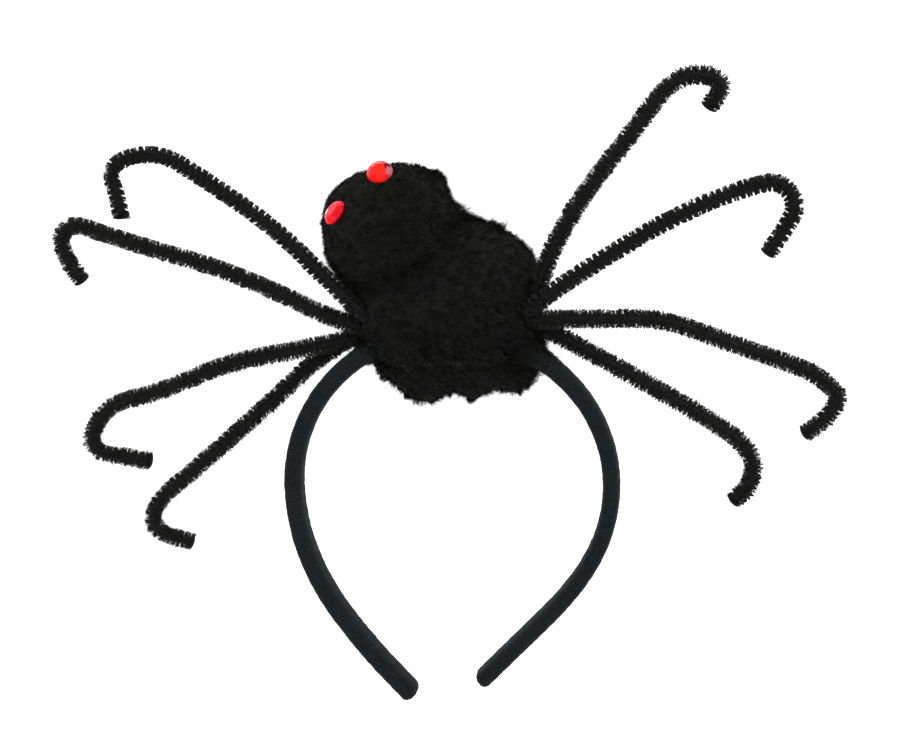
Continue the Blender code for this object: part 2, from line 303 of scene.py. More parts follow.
# Tufts that stand off the outline: lump, a place near it, heading in plan, length, spread, how many tufts
TUFTS = (
    ("head", (2.5, 62.5, 33.0), 35.0, 1.3, 2.2, 14),
    ("head", (1.0, 68.5, 37.0), 10.0, 1.3, 2.2, 14),
    ("head", (-2.5, 73.5, 37.0), 35.0, 2.2, 1.8, 18),
    ("head", (-10.0, 76.0, 37.0), 60.0, 1.6, 3.0, 14),
    ("head", (-45.0, 44.0, 34.0), 215.0, 1.3, 3.5, 12),
    ("abdomen", (6.5, 58.5, 32.0), 55.0, 2.8, 2.0, 26),
    ("abdomen", (6.5, 59.5, 33.0), 95.0, 6.2, 0.4, 3),
    ("abdomen", (5.0, 60.5, 33.0), 50.0, 6.0, 0.5, 3),
    ("abdomen", (12.0, 55.5, 31.0), 60.0, 2.2, 2.2, 22),
    ("abdomen", (19.0, 53.0, 30.0), 80.0, 2.8, 2.0, 24),
    ("abdomen", (22.6, 52.0, 30.0), 88.0, 6.0, 0.2, 2),
    ("abdomen", (27.0, 47.0, 28.0), 40.0, 2.2, 2.4, 22),
    ("abdomen", (36.5, 9.5, 21.0), -25.0, 3.2, 1.3, 9),
    ("abdomen", (19.6, -8.0, 10.0), -90.0, 3.8, 0.2, 2),
    ("abdomen", (-17.0, -10.5, 11.0), -125.0, 2.4, 3.0, 40),
    ("abdomen", (-26.0, -2.0, 14.0), -140.0, 2.0, 3.0, 26),
    ("abdomen", (3.0, -11.0, 10.0), -95.0, 2.2, 3.5, 30),
    ("abdomen", (28.0, -6.0, 11.0), -70.0, 2.2, 3.5, 30),
    ("abdomen", (-37.5, 30.5, 32.0), 140.0, 2.6, 1.2, 4),
    ("abdomen", (-38.5, 21.5, 30.0), 155.0, 2.6, 1.0, 8),
)
# Tufts: width, length in the pile, lengths beyond it, stray in heading, and depth of the roots
TUFT_WIDTH = 0.26
TUFT_BASE = 1.1
TUFT_LENGTHS = (0.4, 1.1)
TUFT_STRAY = 22.0
TUFT_SUNK = 0.8
# How far tufts rise beside their length: the usual one's, and how much they differ
TUFT_RISE = (0.1, 0.2)
# Hairs of a tuft: how many, how much thicker than the pile, length, stray, bow, width and how pale they are
TUFT_HAIRS = 9
HAIR_THICK = 1.5
HAIR_LENGTHS = (0.5, 1.1)
HAIR_STRAY = 0.3
HAIR_BOW = 0.2
HAIR_WIDTHS = (0.6, 1.1)
HAIR_TINTS = (0.0, 0.7)
# Pile caught on the band where it leaves the plush: how many fibres are tried over the whole band, their
# length and width, how far they reach along each arm, and where they begin
CAUGHT_FIBRES = 220000
CAUGHT_LENGTH = 1.7
CAUGHT_LENGTHS = (0.5, 1.2)
CAUGHT_WIDTHS = (0.6, 1.1)
CAUGHT_REACH = {"left": 2.6, "right": 7.5}
CAUGHT_FROM = 5.0
CAUGHT_CLEAR = 0.5
# How that pile lies: its rise off the velvet, its stray, the way it is brushed, and its least rise
CAUGHT_RISE = 0.4
CAUGHT_STRAY = 0.5
CAUGHT_BRUSH = np.array([0.3, -0.2, 0.0])
CAUGHT_LEAST = 0.2
# Pile is longer and stands freer where it closes over a neighbour: how much, and within what distance of it
CLOSE_REACH = 1.3
CLOSE_RISE = 0.6
CLOSE_LOOSE = 0.8
CLOSE_WITHIN = 4.5

# Red stones: where each sits, heading it faces in plan, height it faces
EYE_SEATS = {
    "right": (-22.9, 72.2, 46.8, 100.0, 60.0),
    "left": (-39.0, 57.2, 47.8, 143.0, 34.0),
}
STONE_FACETS = 16
# Radius and height of each ring above the flat back, and how far it is turned in facets
STONE_RINGS = ((4.7, 0.0, 0.0), (5.0, 0.7, 0.0), (4.75, 1.5, 0.5), (4.1, 2.5, 0.0), (3.2, 3.0, 0.5))
TABLE_BORDER = 0.75
# Colour of its back, and of its girdle, which is painted dark as painted shade
STONE_BACK_AND_SHADE = (0.30, 0.0, 0.004)
# Colours painted on each stone: its table's red, then its rim's and those of the table's border by heading,
# which are painted reflections, glints and shade
STONE_RED_AND_PAINTED_LIGHT = {
    "right": (
        (0.88, 0.014, 0.009),
        (
            (0.0, (0.60, 0.03, 0.03)),
            (30.0, (0.75, 0.008, 0.006)),
            (75.0, (0.80, 0.010, 0.008)),
            (125.0, (0.45, 0.012, 0.016)),
            (150.0, (0.32, 0.08, 0.11)),
            (180.0, (0.05, 0.0, 0.001)),
            (212.0, (0.50, 0.04, 0.05)),
            (250.0, (0.42, 0.14, 0.14)),
            (320.0, (0.55, 0.06, 0.06)),
        ),
        (
            (0.0, (0.72, 0.012, 0.012)),
            (45.0, (0.88, 0.014, 0.009)),
            (140.0, (0.60, 0.016, 0.02)),
            (175.0, (0.12, 0.001, 0.003)),
            (215.0, (0.70, 0.03, 0.03)),
            (245.0, (0.55, 0.15, 0.15)),
            (325.0, (0.75, 0.03, 0.03)),
        ),
    ),
    "left": (
        (0.88, 0.016, 0.03),
        (
            (0.0, (0.86, 0.006, 0.008)),
            (45.0, (0.68, 0.006, 0.012)),
            (75.0, (0.45, 0.004, 0.010)),
            (130.0, (0.66, 0.012, 0.024)),
            (165.0, (0.55, 0.04, 0.06)),
            (200.0, (0.50, 0.14, 0.17)),
            (290.0, (0.80, 0.50, 0.54)),
            (340.0, (0.65, 0.05, 0.05)),
        ),
        (
            (0.0, (0.86, 0.010, 0.012)),
            (60.0, (0.78, 0.012, 0.022)),
            (180.0, (0.60, 0.08, 0.10)),
            (215.0, (0.58, 0.03, 0.05)),
            (275.0, (0.95, 0.78, 0.80)),
            (335.0, (0.86, 0.03, 0.03)),
        ),
    ),
}

# Darkest and palest colour of each fibrous finish, and how rough and how glossy its fibres are
PLUSH_COLOURS = ((0.001, 0.0011, 0.0008), (0.0185, 0.0198, 0.0158))
PLUSH_SHINE = (0.75, 0.025)
BRISTLE_COLOURS = ((0.001, 0.001, 0.0009), (0.0185, 0.0187, 0.0166))
BRISTLE_SHINE = (0.5, 0.14)
# The nap is painted paler than the velvet under it: painted sheen
NAP_SHEEN_COLOURS = ((0.002, 0.003, 0.0033), (0.013, 0.0165, 0.0185))
NAP_SHINE = (0.85, 0.1)
# The roots are painted darker than the fibres: painted shade deep in the pile
ROOT_SHADE_COLOURS = ((0.001, 0.001, 0.0009), (0.004, 0.004, 0.0036))
VELVET_COLOURS = ((0.0022, 0.0028, 0.0031), (0.0075, 0.0094, 0.0106))
# Their patches and grain: how fine, how detailed. Then the values between which the colour changes, and the
# grain's strength and height
ROOT_PATCHES = (420.0, 5.0)
ROOT_GRAIN = (1500.0, 3.0)
ROOT_VALUES = (0.35, 0.7)
ROOT_BUMP = (0.9, 0.0006)
VELVET_PATCHES = (1100.0, 2.0)
VELVET_GRAIN = (2200.0, 3.0)
VELVET_VALUES = (0.36, 0.66)
VELVET_BUMP = (0.6, 0.0004)

# Light from all round. Then the surface that the headband lies on: its glow, how pale it is, its size
WORLD_LIGHT = 1.4
SURFACE_GLOW = 0.5
SURFACE_PALE = (0.96, 0.96, 0.96, 1.0)
SURFACE_SIZE = 3.0
WHITE = (1.0, 1.0, 1.0, 1.0)
# Lamps aimed at the middle: name, place, width, power
LAMPS = (
    ("key", (0.75, 0.6, 1.0), 0.7, 9.0),
    ("fill", (-0.8, -0.3, 0.9), 0.7, 2.5),
)


def inputs(node, **values):
    """Set a node's sockets by their names, with spaces written as underscores."""
    for name, value in values.items():
        node.inputs[name.replace("_", " ")].default_value = value
    return node


def new_material(name, **values):
    """A Principled material, its node tree and its surface node."""
    material = bpy.data.materials.new(name)
    material.use_nodes = True
    surface = material.node_tree.nodes["Principled BSDF"]
    inputs(surface, **values)
    return material, material.node_tree, surface


def add_node(tree, kind, **values):
    """A new node of one kind with its sockets set."""
    return inputs(tree.nodes.new(kind), **values)


def noise_on(tree, coordinates, scale, detail, roughness=0.6):
    """Noise texture read on the given coordinates."""
    texture = add_node(tree, "ShaderNodeTexNoise", Scale=scale, Detail=detail, Roughness=roughness)
    tree.links.new(coordinates, texture.inputs["Vector"])
    return texture


def ramp_between(tree, factor, low, high, dark, light):
    """Blend from one colour to another as a factor goes from low to high."""
    ramp = tree.nodes.new("ShaderNodeValToRGB")
    ramp.color_ramp.elements[0].position = low
    ramp.color_ramp.elements[0].color = (*dark, 1.0)
    ramp.color_ramp.elements[1].position = high
    ramp.color_ramp.elements[1].color = (*light, 1.0)
    tree.links.new(factor, ramp.inputs["Fac"])
    return ramp


def bump_from(tree, height, surface, strength, distance):
    """Turn a height into a bump on a surface."""
    bump = add_node(tree, "ShaderNodeBump", Strength=strength, Distance=distance)
    tree.links.new(height, bump.inputs["Height"])
    tree.links.new(bump.outputs["Normal"], surface.inputs["Normal"])


def attribute_on(tree, name, output):
    """A value that the mesh carries under this name."""
    attribute = tree.nodes.new("ShaderNodeAttribute")
    attribute.attribute_name = name
    return attribute.outputs[output]


def math_on(tree, operation, *terms):
    """Outcome of one operation on terms, each a number or another node's output."""
    node = tree.nodes.new("ShaderNodeMath")
    node.operation = operation
    for socket, term in zip(node.inputs, terms):
        if isinstance(term, float):
            socket.default_value = term
        else:
            tree.links.new(term, socket)
    return node.outputs[0]


def fibre_material(name, colours, shine):
    """Acrylic fibre whose depth of colour varies from one fibre to the next; its tints also carry painted
    shade toward the roots and, on the plush, painted light.
    """
    roughness, gloss = shine
    material, tree, surface = new_material(name, Roughness=roughness, Specular_IOR_Level=gloss)
    ramp = ramp_between(tree, attribute_on(tree, "tint", "Fac"), 0.0, 1.0, *colours)
    tree.links.new(ramp.outputs["Color"], surface.inputs["Base Color"])
    return material


def skin_material():
    """Matted roots of the pile, seen between its fibres, painted darker than the fibres as painted shade deep
    in the pile.
    """
    material, tree, surface = new_material("plush_roots", Roughness=0.95, Specular_IOR_Level=0.2)
    place = tree.nodes.new("ShaderNodeTexCoord").outputs["Object"]
    patches = noise_on(tree, place, *ROOT_PATCHES)
    ramp = ramp_between(tree, patches.outputs["Fac"], *ROOT_VALUES, *ROOT_SHADE_COLOURS)
    tree.links.new(ramp.outputs["Color"], surface.inputs["Base Color"])
    grain = noise_on(tree, place, *ROOT_GRAIN)
    bump_from(tree, grain.outputs["Fac"], surface, *ROOT_BUMP)
    return material


def velvet_material():
    """Dark slate velvet with a fine cross rib, a painted highlight on its ridges, and rubbed patches."""
    material, tree, surface = new_material(
        "slate_velvet", Roughness=0.9, Specular_IOR_Level=0.1, Sheen_Weight=0.03, Sheen_Roughness=0.35
    )
    surface.inputs["Sheen Tint"].default_value = (0.75, 0.88, 1.0, 1.0)
    place = tree.nodes.new("ShaderNodeTexCoord").outputs["Object"]
    patches = noise_on(tree, place, *VELVET_PATCHES)
    nap = noise_on(tree, place, *VELVET_GRAIN)
    turns = math_on(tree, "MULTIPLY", attribute_on(tree, "along", "Fac"), 2 * math.pi / RIB_PITCH)
    rib = math_on(tree, "SINE", turns)
    height = math_on(tree, "MULTIPLY_ADD", rib, RIB_HEIGHT, nap.outputs["Fac"])
    bump_from(tree, height, surface, *VELVET_BUMP)
    # The rib's ridges are painted paler: painted highlight over the rubbed patches
    patches_and_rib_highlight = math_on(tree, "MULTIPLY_ADD", rib, RIB_PAINTED_HIGHLIGHT, patches.outputs["Fac"])
    ramp = ramp_between(tree, patches_and_rib_highlight, *VELVET_VALUES, *VELVET_COLOURS)
    tree.links.new(ramp.outputs["Color"], surface.inputs["Base Color"])
    return material


def stone_material():
    """Clear red acrylic over a bright back, each facet coloured with the stone's red, its painted
    reflections, glints and shade.
    """
    material, tree, surface = new_material(
        "red_acrylic", Roughness=0.3, Specular_IOR_Level=0.03, Coat_Weight=0.02, Coat_Roughness=0.04
    )
    tree.links.new(attribute_on(tree, "facet_red_and_painted_light", "Color"), surface.inputs["Base Color"])
    return material


def wire_material():
    """Dull steel wire."""
    return new_material("steel_wire", Base_Color=(0.32, 0.32, 0.33, 1.0), Metallic=1.0, Roughness=0.4)[0]


def finish_piece(name, mesh, material, nodes=()):
    """Make a mesh a piece of the object: it rides on the only body and may stand for CAD nodes."""
    piece = bpy.data.objects.new(name, mesh)
    mesh.materials.append(material)
    bpy.context.scene.collection.objects.link(piece)
    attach(piece, "root")
    if nodes:
        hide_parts(*nodes)
    return piece


def walk(start, heading, runs, step, most_turn):
    """Points along runs of (length, turn), as (x, y, heading, distance), headings in radians."""
    x, y = start
    distance = 0.0
    stations = [(x, y, heading, distance)]
    for length, turn in runs:
        steps = math.ceil(max(length / step, abs(turn) / most_turn))
        stride = length / steps
        for _ in range(steps):
            heading += math.radians(turn) / steps / 2
            x += stride * math.cos(heading)
            y += stride * math.sin(heading)
            heading += math.radians(turn) / steps / 2
            distance += stride
            stations.append((x, y, heading, distance))
    return stations


def grow(shape, edges):
    """Extrude edges in place, and give the new vertices and the new edges that join them."""
    grown = bmesh.ops.extrude_edge_only(shape, edges=edges)["geom"]
    verts = [part for part in grown if isinstance(part, bmesh.types.BMVert)]
    edges = [part for part in grown if isinstance(part, bmesh.types.BMEdge)]
    return verts, [edge for edge in edges if edge.verts[0] in verts and edge.verts[1] in verts]


def ring_outline(radius, sides):
    """A round outline as points in a plane."""
    angles = [2 * math.pi * i / sides for i in range(sides)]
    return [(radius * math.cos(angle), radius * math.sin(angle)) for angle in angles]


def axes_at(place, side, high, toward):
    """The matrix that sets an outline at a place, along two directions and facing a third."""
    axes = Matrix((Vector(side), Vector(high), Vector(toward))).transposed().to_4x4()
    return Matrix.Translation(Vector(place)) @ axes


def rescale(shape, factor):
    """Make a bmesh larger or smaller about the origin."""
    bmesh.ops.scale(shape, vec=Vector((factor, factor, factor)), verts=shape.verts)


def put_in_order(shape):
    """Sort a bmesh's points, edges and faces by where they lie, which gives every run the same order."""
    for i, vert in enumerate(sorted(shape.verts, key=lambda vert: vert.co[:])):
        vert.index = i
    shape.verts.sort()
    for parts in (shape.edges, shape.faces):
        for i, part in enumerate(sorted(parts, key=lambda part: sorted(vert.index for vert in part.verts))):
            part.index = i
        parts.sort()


def sweep(outline, places):
    """Extrude an outline from place to place, each a matrix, and close both ends."""
    shape = bmesh.new()
    layer = shape.verts.layers.float.new("along")
    verts = [shape.verts.new((x, y, 0.0)) for x, y in outline]
    edges = [shape.edges.new((a, b)) for a, b in zip(verts, verts[1:] + verts[:1])]
    last = Matrix.Identity(4)
    first_edges = edges
    for matrix, distance in places:
        if last != Matrix.Identity(4):
            verts, edges = grow(shape, edges)
        bmesh.ops.transform(shape, matrix=matrix @ last.inverted(), verts=verts)
        for vert in verts:
            vert[layer] = distance
        last = matrix
    bmesh.ops.holes_fill(shape, edges=first_edges + edges, sides=0)
    bmesh.ops.recalc_face_normals(shape, faces=shape.faces)
    put_in_order(shape)
    return shape


def to_mesh(shape, name, smooth=True):
    """Turn a bmesh in millimetres into a mesh in metres, and free it."""
    rescale(shape, MM)
    mesh = bpy.data.meshes.new(name)
    shape.to_mesh(mesh)
    shape.free()
    if smooth:
        mesh.shade_smooth()
    return mesh


def fibre_shape(waist):
    """Three sided fibre along Z from 0 to 1, widest at its waist and pointed at each end away from it."""
    shape = bmesh.new()
    ends = [end for end in (0.0, 1.0) if end != waist]
    bmesh.ops.create_circle(shape, cap_ends=len(ends) == 1, segments=3, radius=1.0)
    bmesh.ops.translate(shape, vec=(0, 0, waist), verts=shape.verts)
    ring = shape.edges[:]
    for end in ends:
        verts, _ = grow(shape, ring)
        bmesh.ops.pointmerge(shape, verts=verts, merge_co=(0, 0, end))
    bmesh.ops.recalc_face_normals(shape, faces=shape.faces)
    shape.verts.index_update()
    places = np.array([vert.co for vert in shape.verts])
    corners = np.array([[vert.index for vert in face.verts] for face in shape.faces])
    shape.free()
    return places, corners


# Shapes of a fibre: widest at its waist, at its root or at its tip
FIBRE = fibre_shape(FIBRE_WAIST)
ROOTED_BRISTLE = fibre_shape(0.0)
BLUNT_BRISTLE = fibre_shape(1.0)


def unit(vectors):
    """Rows of an array made one unit long."""
    return vectors / np.maximum(np.linalg.norm(vectors, axis=1, keepdims=True), 1e-12)


def join_fibres(name, template, roots, lower, upper, widths, tints):
    """One mesh of many fibres: each has a root, a vector to its waist, one on to its tip, and a width."""
    places, corners = template
    count = len(roots)
    ahead = unit(lower + upper)
    guide = np.where(np.abs(ahead[:, 2:]) < 0.9, [[0.0, 0.0, 1.0]], [[1.0, 0.0, 0.0]])
    side = unit(np.cross(ahead, guide)) * widths[:, None]
    other = np.cross(ahead, side)
    below = np.minimum(places[:, 2] / FIBRE_WAIST, 1.0)
    above = np.maximum((places[:, 2] - FIBRE_WAIST) / (1.0 - FIBRE_WAIST), 0.0)
    points = roots[:, None] + lower[:, None] * below[:, None] + upper[:, None] * above[:, None]
    points = points + side[:, None] * places[:, :1] + other[:, None] * places[:, 1:2]
    points[..., 2] = np.maximum(points[..., 2], FLOOR_GAP)
    faces = (corners[None] + (np.arange(count) * len(places))[:, None, None]).reshape(-1, 3)

    mesh = bpy.data.meshes.new(name)
    mesh.vertices.add(count * len(places))
    mesh.vertices.foreach_set("co", (points * MM).ravel())
    mesh.loops.add(faces.size)
    mesh.loops.foreach_set("vertex_index", faces.ravel())
    mesh.polygons.add(len(faces))
    mesh.polygons.foreach_set("loop_start", np.arange(len(faces)) * 3)
    mesh.update(calc_edges=True)
    tint = mesh.attributes.new("tint", "FLOAT", "POINT")
    # Painted shade that darkens each fibre toward its root
    depth = ROOT_SHADE + (1 - ROOT_SHADE) * places[:, 2]
    tint.data.foreach_set("value", (tints[:, None] * depth[None]).ravel())
    return mesh


def join_straight(name, template, roots, ways, widths, tints):
    """One mesh of many straight fibres: each has a root, a vector to its tip, and a width."""
    return join_fibres(name, template, roots, ways * FIBRE_WAIST, ways * (1 - FIBRE_WAIST), widths, tints)


def join_meshes(name, meshes):
    """One mesh of several, each keeping its attributes."""
    things = []
    for mesh in meshes:
        thing = bpy.data.objects.new(name, mesh)
        bpy.context.scene.collection.objects.link(thing)
        things.append(thing)
    with bpy.context.temp_override(
        active_object=things[0], object=things[0], selected_objects=things, selected_editable_objects=things
    ):
        bpy.ops.object.join()
    joined = things[0].data
    bpy.data.objects.remove(things[0])
    return joined


def smooth_noise(along, across, above, patch, shift):
    """Smooth noise from -1 to 1 on a leg's surface, in patches of one of the kinds of the table."""
    length, turns = patch
    return np.array([
        noise.noise(Vector((s / length + shift, turns * x, turns * z)))
        for s, x, z in zip(along, across, above)
    ])


def leg_path(name):
    """Stations of a leg as arrays: places, directions ahead and distances along it."""
    x, y, heading, root_height, middle_height, foot_height = LEG_ROOTS[name]
    stations = np.array(walk((x, y), math.radians(heading), LEG_BENDS[name], LEG_STEP, MOST_TURN))
    t = stations[:, 3] / stations[-1, 3]
    height = (1 - t) ** 2 * root_height + 2 * t * (1 - t) * middle_height + t ** 2 * foot_height
    places = np.column_stack([stations[:, 0], stations[:, 1], height]) + np.array(FOOTPRINT_SHIFT)
    ahead = unit(np.gradient(places, axis=0))
    return places, ahead, stations[:, 3]


def along_path(at, distances, values):
    """Rows of an array of a path's stations, worked out at other distances along it."""
    return np.column_stack([np.interp(at, distances, values[:, i]) for i in range(3)])


def on_side(across):
    """How far bristles stand on one side of their leg, from 0 to 1."""
    return np.clip(SIDE_EDGE * across, 0.0, 1.0)


def screwed_bristles(name, random, places, ahead, distances):
    """Bristles that screw round a leg: their roots, the vectors to their tips, and their colour's streaks."""
    tuft_draw, thread_draw, lower_lean, gap_turn, comb_depth, full = LEG_PILE[name]
    whole = distances[-1]
    count = int(whole * BRISTLES_PER_MM)
    at = random.uniform(0.0, whole, count)
    at_foot = at > whole - FOOT_DENSE
    roots = along_path(at, distances, places)
    forward = unit(along_path(at, distances, ahead))
    sideways = unit(np.cross([0.0, 0.0, 1.0], forward))
    up = np.cross(forward, sideways)
    thread = random.integers(0, 2, count)
    shift = NOISE_APART * list(LEG_ROOTS).index(name)

    fill = full + FILL_UNEVEN * smooth_noise(at, 0 * at, 0 * at, FILL_PATCH, shift)
    fill = np.where(at_foot, FILL_MOST, np.clip(fill, FILL_LEAST, FILL_MOST))
    offset = fill * math.pi / 2 * random.uniform(-1, 1, count)
    tuft = np.sign(offset) * fill * math.pi / 4
    gather = (thread_draw * tuft + tuft_draw * (offset - tuft)) * TWIST_PITCH / (2 * math.pi)
    angle = 2 * math.pi * at / TWIST_PITCH + math.pi * thread + offset
    angle = angle + random.normal(0, BRISTLE_SPREAD, count)
    across = np.cos(angle)
    above = np.sin(angle)

    lean = random.normal(0, BRISTLE_LEAN, count)
    lean = lean + BRISTLE_DRIFT * smooth_noise(at, across, above, DRIFT_PATCH, shift)
    lean = lean + BRISTLE_CLUMP * smooth_noise(at, across, above, CLUMP_PATCH, shift)
    lean = lean + lower_lean * on_side(across if name.startswith("left") else -across)
    lean = lean - gap_turn * above * on_side(across)
    out = unit(sideways * across[:, None] + up * above[:, None] + forward * lean[:, None])

    pinch = ROOT_PINCH + (1 - ROOT_PINCH) * np.minimum(1.0, at / ROOT_LENGTH)
    rough = TIP_ROUGH + (SIDE_ROUGH - TIP_ROUGH) * on_side(across)
    rough = rough * smooth_noise(at, across, above, ROUGH_PATCH, shift + ROUGH_SHIFT)
    reach = (PILE_RADIUS + PILE_PROUD) * pinch * (1 + rough + random.normal(0, BRISTLE_UNEVEN, count))
    stray = random.random(count) < STRAY_SHARE
    reach = np.where(stray, reach * random.uniform(STRAY_LEAST, STRAY_REACH, count), reach)
    reach = np.minimum(reach, STRAY_REACH * PILE_RADIUS)

    comb = 2 * math.pi * (at + PILE_RADIUS * (lean + COMB_SLANT * above)) / COMB_PITCH
    comb = comb + COMB_UNEVEN * smooth_noise(at, across, above, COMB_PATCH, shift + COMB_SHIFT)
    deep = np.where(at_foot, 0.0, comb_depth)
    reach = reach * (1 + deep / 2 * np.cos(comb))
    gather = gather + COMB_DRAW * (deep > 0) * np.sin(comb) * COMB_PITCH / (2 * math.pi)
    streaks = smooth_noise(at, across, above, STREAK_PATCH, shift + STREAK_SHIFT)
    return roots, out * reach[:, None] + forward * gather[:, None], streaks


def foot_bristles(random, foot, ahead, level, upright):
    """Bristles that round off the foot of a leg: their roots and the vectors to their tips."""
    angle = random.uniform(0, 2 * math.pi, FOOT_BRISTLES)
    inward = np.sqrt(random.random(FOOT_BRISTLES))
    tips = level * np.cos(angle)[:, None] + upright * np.sin(angle)[:, None]
    tips = tips * (inward * PILE_RADIUS)[:, None] * random.uniform(*FOOT_REACHES, FOOT_BRISTLES)[:, None]
    tips = tips + ahead * (FOOT_DOME * np.sqrt(1 - inward ** 2) + FOOT_LIFT)[:, None]
    return np.repeat([foot - ahead], FOOT_BRISTLES, axis=0), tips


def build_leg(name, material, wire):
    """A chenille leg: a dense core, bristles that screw round it, and the cut end of its wire."""
    random = np.random.default_rng(SEED + list(LEG_ROOTS).index(name))
    places, ahead, distances = leg_path(name)
    level = unit(np.cross([0.0, 0.0, 1.0], ahead))
    upright = np.cross(ahead, level)

    roots, tips, streaks = screwed_bristles(name, random, places, ahead, distances)
    foot_roots, foot_tips = foot_bristles(random, places[-1], ahead[-1], level[-1], upright[-1])
    count = len(roots)
    roots = np.concatenate([roots, foot_roots])
    tips = np.concatenate([tips, foot_tips])
    widths = BRISTLE_WIDTH * random.uniform(*WIDTHS, len(roots))
    tints = np.clip(BRISTLE_TINT + STREAK_TINT * streaks + random.normal(0, TINT_STRAY, count), 0.0, 1.0)
    tints = np.concatenate([tints, random.uniform(*FOOT_TINTS, FOOT_BRISTLES)])
    rooted = random.random(len(roots)) < ROOTED_SHARE * (np.arange(len(roots)) < count)
    bristles = [
        join_straight("bristles", shape, roots[of], tips[of], widths[of], tints[of])
        for shape, of in ((ROOTED_BRISTLE, rooted), (BLUNT_BRISTLE, ~rooted))
    ]

    core_places = []
    for place, toward, side, high, distance in zip(places, ahead, level, upright, distances):
        size = ROOT_PINCH + (1 - ROOT_PINCH) * min(1.0, distance / ROOT_LENGTH)
        if distance > distances[-1] - CORE_RADIUS / 2:
            size *= CORE_END
        core_places.append((axes_at(place, side * size, high * size, toward), distance))
    core = to_mesh(sweep(ring_outline(CORE_RADIUS, CORE_SIDES), core_places), "core")
    pile = join_meshes("leg_" + name, [core] + bristles)
    finish_piece("leg_" + name + "_pile", pile, material, ["leg_" + name])

    ends = (places[-1] - ahead[-1] * WIRE_BURIED, places[-1] + ahead[-1] * WIRE_END)
    run = [(axes_at(end, level[-1], upright[-1], ahead[-1]), 0.0) for end in ends]
    cut_end = to_mesh(sweep(ring_outline(WIRE_RADIUS, WIRE_SIDES), run), "wire", smooth=False)
    finish_piece("leg_" + name + "_wire", cut_end, wire)


def band_outline():
    """The band's padded section between an ellipse and a rectangle: along its width, then its thickness."""
    points = []
    for i in range(BAND_SIDES):
        angle = 2 * math.pi * i / BAND_SIDES
        x = math.cos(angle)
        y = math.sin(angle)
        bulge = (abs(x) ** BAND_SQUARE + abs(y) ** BAND_SQUARE) ** (-1 / BAND_SQUARE)
        points.append((x * bulge * BAND_WIDTH / 2, y * bulge * (BAND_THICKNESS / 2 + BAND_PILE)))
    return points


def band_places():
    """Matrices along the band from its left tip over the crown to its right tip, with distances."""
    slope = math.radians(BAND_SLOPE)
    uphill = Vector((0.0, math.cos(slope), math.sin(slope)))
    across = Vector((0.0, -math.sin(slope), math.cos(slope)))
    foot = BAND_FOOT + FOOTPRINT_SHIFT
    stations = []
    for side, way in (("left", -1), ("right", 1)):
        runs = [(radius * math.radians(turn), -turn) for radius, turn in ARM_BENDS[side]]
        runs.append((ARM_STRAIGHT[side], 0.0))
        arm = walk((0.0, 0.0), 0.0, runs, BAND_STEP, MOST_TURN)
        arm = [(way * x, along, way * -heading, way * distance, 0.0) for x, along, heading, distance in arm]
        x, along, heading, distance, _ = arm[-1]
        for i in range(1, BAND_TIP_RINGS + 1):
            angle = math.radians(BAND_TIP_TURN * i / BAND_TIP_RINGS)
            reach = way * BAND_TIP_ROUND * math.sin(angle)
            inset = BAND_TIP_ROUND * (1 - math.cos(angle))
            tip_x = x + reach * math.cos(heading)
            tip_along = along - reach * math.sin(heading)
            arm.append((tip_x, tip_along, heading, distance + reach, inset))
        stations += arm[:0:-1] if way < 0 else arm
    places = []
    for x, along, heading, distance, inset in stations:
        middle = foot + Vector((x, 0.0, 0.0)) + uphill * (CROWN_ALONG + along)
        outward = Vector((math.sin(heading), 0.0, 0.0)) + uphill * math.cos(heading)
        wide = 1 - inset / (BAND_WIDTH / 2) * BAND_TIP_NARROW
        thinner = RIGHT_THIN * min(1.0, max(0.0, distance / THIN_FROM))
        thick = 1 - inset / (BAND_THICKNESS / 2) * BAND_TIP_THIN - thinner
        places.append((axes_at(middle, across * wide, outward * thick, across.cross(outward)), distance))
    return places


def build_band(material, fibre):
    """The velvet covered band, softly uneven, with a short nap."""
    shape = sweep(band_outline(), band_places())
    shape.normal_update()
    for vert in shape.verts:
        vert.co += vert.normal * (BAND_UNEVEN * noise.noise(vert.co / BAND_PATCH))
    mesh = to_mesh(shape, "headband")
    piece = finish_piece("headband_velvet", mesh, material, ["headband"])

    random = np.random.default_rng(SEED)
    roots, normals = scatter(mesh, NAP_FIBRES, random)
    out = unit(normals + random.normal(0, NAP_STRAY, roots.shape))
    ways = out * (NAP_LENGTH * random.uniform(*NAP_LENGTHS, len(roots)))[:, None]
    widths = NAP_WIDTH * random.uniform(*WIDTHS, len(roots))
    nap = join_straight("nap", FIBRE, roots, ways, widths, random.random(len(roots)))
    finish_piece("headband_nap", nap, fibre)
    return piece


def build_band_fuzz(band, plush_tree, material):
    """Plush pile caught on the velvet beside the lump that the band passes through."""
    random = np.random.default_rng(SEED + 1)
    roots, normals = scatter(band.data, CAUGHT_FIBRES, random)
    high = roots[:, 1] > CAUGHT_FROM
    roots, normals = roots[high], normals[high]
    away = distances_to(plush_tree, roots)
    reach = np.where(roots[:, 0] < 0, CAUGHT_REACH["left"], CAUGHT_REACH["right"])
    keep = (away > CAUGHT_CLEAR) & (random.random(len(roots)) < np.exp(-(away / reach) ** 2))
    roots, normals = roots[keep], normals[keep]
    lean = unit(normals * CAUGHT_RISE + random.normal(0, CAUGHT_STRAY, roots.shape) + CAUGHT_BRUSH)
    lean = lifted(lean, normals, CAUGHT_LEAST)
    ways = lean * (CAUGHT_LENGTH * random.uniform(*CAUGHT_LENGTHS, len(roots)))[:, None]
    widths = PILE_WIDTH * random.uniform(*CAUGHT_WIDTHS, len(roots))
    mesh = join_straight("band_fuzz", FIBRE, roots, ways, widths, random.random(len(roots)))
    finish_piece("headband_fuzz", mesh, material)


def lifted(ways, normals, least):
    """Directions turned up off a surface until each rises from it by at least this much."""
    rise = np.einsum("ij,ij->i", ways, normals)
    return unit(ways + normals * np.maximum(0.0, least - rise)[:, None])


